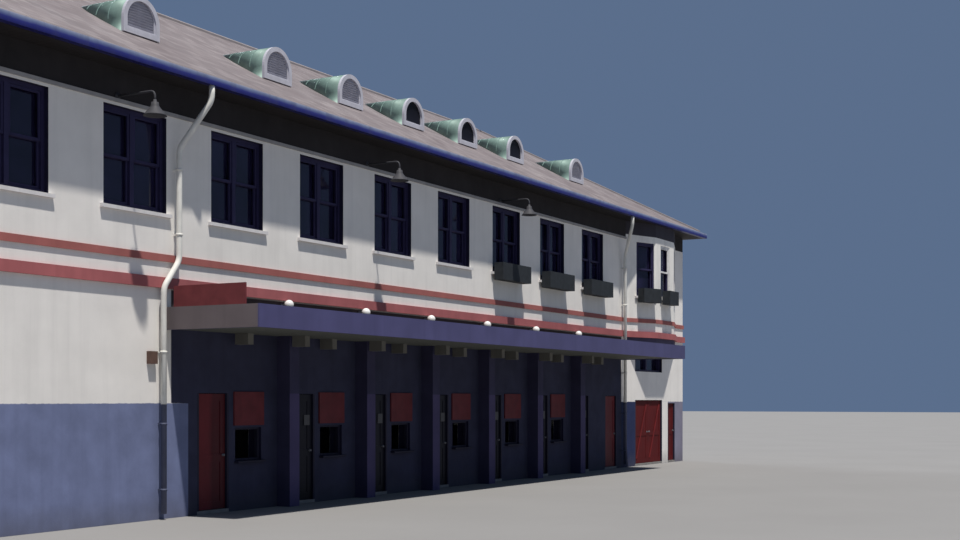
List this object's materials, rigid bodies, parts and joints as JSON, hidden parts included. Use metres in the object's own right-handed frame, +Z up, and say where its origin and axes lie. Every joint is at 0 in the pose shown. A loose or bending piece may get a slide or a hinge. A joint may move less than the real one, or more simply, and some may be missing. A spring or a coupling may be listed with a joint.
{
  "type": "stadium front building",
  "caption": "Two-storey stadium front building with ticket bays under a long canopy, hipped roof, arched roof dormers and a canted upper bay.",
  "frame": {"origin": "on the ground, at the middle of the building's outline in plan", "axes": "+X along the street front from its left end to its right end, +Y from the street front to the back, +Z up"},
  "size_m": [31.24, 12.65, 10.56],
  "materials": {
    "wall_plaster": "painted plaster, white over a blue-gray base",
    "bay_plaster": "painted plaster, dull purple gray",
    "moulding": "painted wood strip",
    "band_red": "painted plaster, dull red",
    "post_plaster": "painted plaster, dark blue gray",
    "concrete": "rough concrete",
    "roofing": "weathered pale roofing",
    "dormer_green": "weathered green sheet",
    "dormer_white": "painted rim",
    "fascia_blue": "painted sheet, blue purple",
    "deck_timber": "painted boards",
    "soffit_timber": "dark painted boards",
    "window_violet": "dark violet painted wood, white in the bay",
    "glass": "window glass",
    "sill_white": "painted sill",
    "planter": "painted sheet box",
    "door_dark": "dark painted wood",
    "door_red": "red painted wood",
    "jamb": "painted wood",
    "hinge_steel": "plain steel",
    "downspout": "painted sheet pipe",
    "lamp_white": "white globe",
    "floodlight": "spun sheet shade",
    "board_red": "painted board",
    "meter_brown": "painted sheet box"
  },
  "bodies": {
    "building": {"front_ground_piers": "wall_plaster", "front_ground_panels": "wall_plaster", "front_upper_wall": "wall_plaster", "bay_lintel": "wall_plaster", "back_wall": "wall_plaster", "end_walls": "wall_plaster", "bay_front_facet": "wall_plaster", "bay_side_facets": "wall_plaster", "bay_base": "bay_plaster", "bay_cap": "bay_plaster", "frieze_moulding": "moulding", "band_runs": "band_red", "band_returns": "band_red", "canopy_posts": "post_plaster", "ground_floor": "concrete", "upper_floor": "concrete", "thresholds": "concrete", "roof_front_slope": "roofing", "roof_back_slope": "roofing", "roof_hips": "roofing", "ridge_cap": "roofing", "hip_caps": "roofing", "dormer_bodies": "dormer_green", "dormer_rims": "dormer_white", "canopy_front_fascia": "fascia_blue", "canopy_end_fascias": "fascia_blue", "long_gutters": "fascia_blue", "end_gutters": "fascia_blue", "canopy_deck": "deck_timber", "canopy_brackets": "deck_timber", "long_soffits": "soffit_timber", "end_soffits": "soffit_timber", "wall_plates": "soffit_timber", "window_frames": "window_violet", "window_glass": "glass", "window_sills": "sill_white", "window_boxes": "planter", "door_jambs": "jamb", "door_hinges": "hinge_steel", "downspouts": "downspout", "wall_lamps": "lamp_white", "floodlights": "floodlight", "ticket_boards": "board_red", "sign_board": "board_red", "meter_box": "meter_brown"},
    "left_door": {"left_door": "door_red"},
    "entry_door_1": {"entry_door_1": "door_dark"},
    "entry_door_2": {"entry_door_2": "door_dark"},
    "entry_door_3": {"entry_door_3": "door_dark"},
    "entry_door_4": {"entry_door_4": "door_dark"},
    "entry_door_5": {"entry_door_5": "door_dark"},
    "entry_door_6": {"entry_door_6": "door_dark"},
    "right_door": {"right_door": "door_red"},
    "side_door": {"side_door": "door_red"},
    "gate_left_leaf": {"gate_left_leaf": "door_red"},
    "gate_right_leaf": {"gate_right_leaf": "door_red"}
  },
  "joints": [
    {"name": "left_door_hinge", "type": "hinge", "parent": "building", "child": "left_door", "pos_m": [-8.845, -4.195, 1.06], "axis": [0, 0, 1], "range_deg": [0, 90]},
    {"name": "entry_door_1_hinge", "type": "hinge", "parent": "building", "child": "entry_door_1", "pos_m": [-6.245, -4.195, 1.06], "axis": [0, 0, 1], "range_deg": [0, 90]},
    {"name": "entry_door_2_hinge", "type": "hinge", "parent": "building", "child": "entry_door_2", "pos_m": [-3.645, -4.195, 1.06], "axis": [0, 0, 1], "range_deg": [0, 90]},
    {"name": "entry_door_3_hinge", "type": "hinge", "parent": "building", "child": "entry_door_3", "pos_m": [-1.045, -4.195, 1.06], "axis": [0, 0, 1], "range_deg": [0, 90]},
    {"name": "entry_door_4_hinge", "type": "hinge", "parent": "building", "child": "entry_door_4", "pos_m": [1.555, -4.195, 1.06], "axis": [0, 0, 1], "range_deg": [0, 90]},
    {"name": "entry_door_5_hinge", "type": "hinge", "parent": "building", "child": "entry_door_5", "pos_m": [4.155, -4.195, 1.06], "axis": [0, 0, 1], "range_deg": [0, 90]},
    {"name": "entry_door_6_hinge", "type": "hinge", "parent": "building", "child": "entry_door_6", "pos_m": [6.755, -4.195, 1.06], "axis": [0, 0, 1], "range_deg": [0, 90]},
    {"name": "right_door_hinge", "type": "hinge", "parent": "building", "child": "right_door", "pos_m": [8.705, -4.195, 1.06], "axis": [0, 0, 1], "range_deg": [0, 90]},
    {"name": "side_door_hinge", "type": "hinge", "parent": "building", "child": "side_door", "pos_m": [13.705, -4.195, 0.95], "axis": [0, 0, 1], "range_deg": [0, 90]},
    {"name": "gate_left_leaf_hinge", "type": "hinge", "parent": "building", "child": "gate_left_leaf", "pos_m": [10.975, -4.195, 1], "axis": [0, 0, 1], "range_deg": [0, 90]},
    {"name": "gate_right_leaf_hinge", "type": "hinge", "parent": "building", "child": "gate_right_leaf", "pos_m": [13.095, -4.195, 1], "axis": [0, 0, 1], "range_deg": [-90, 0]}
  ]
}
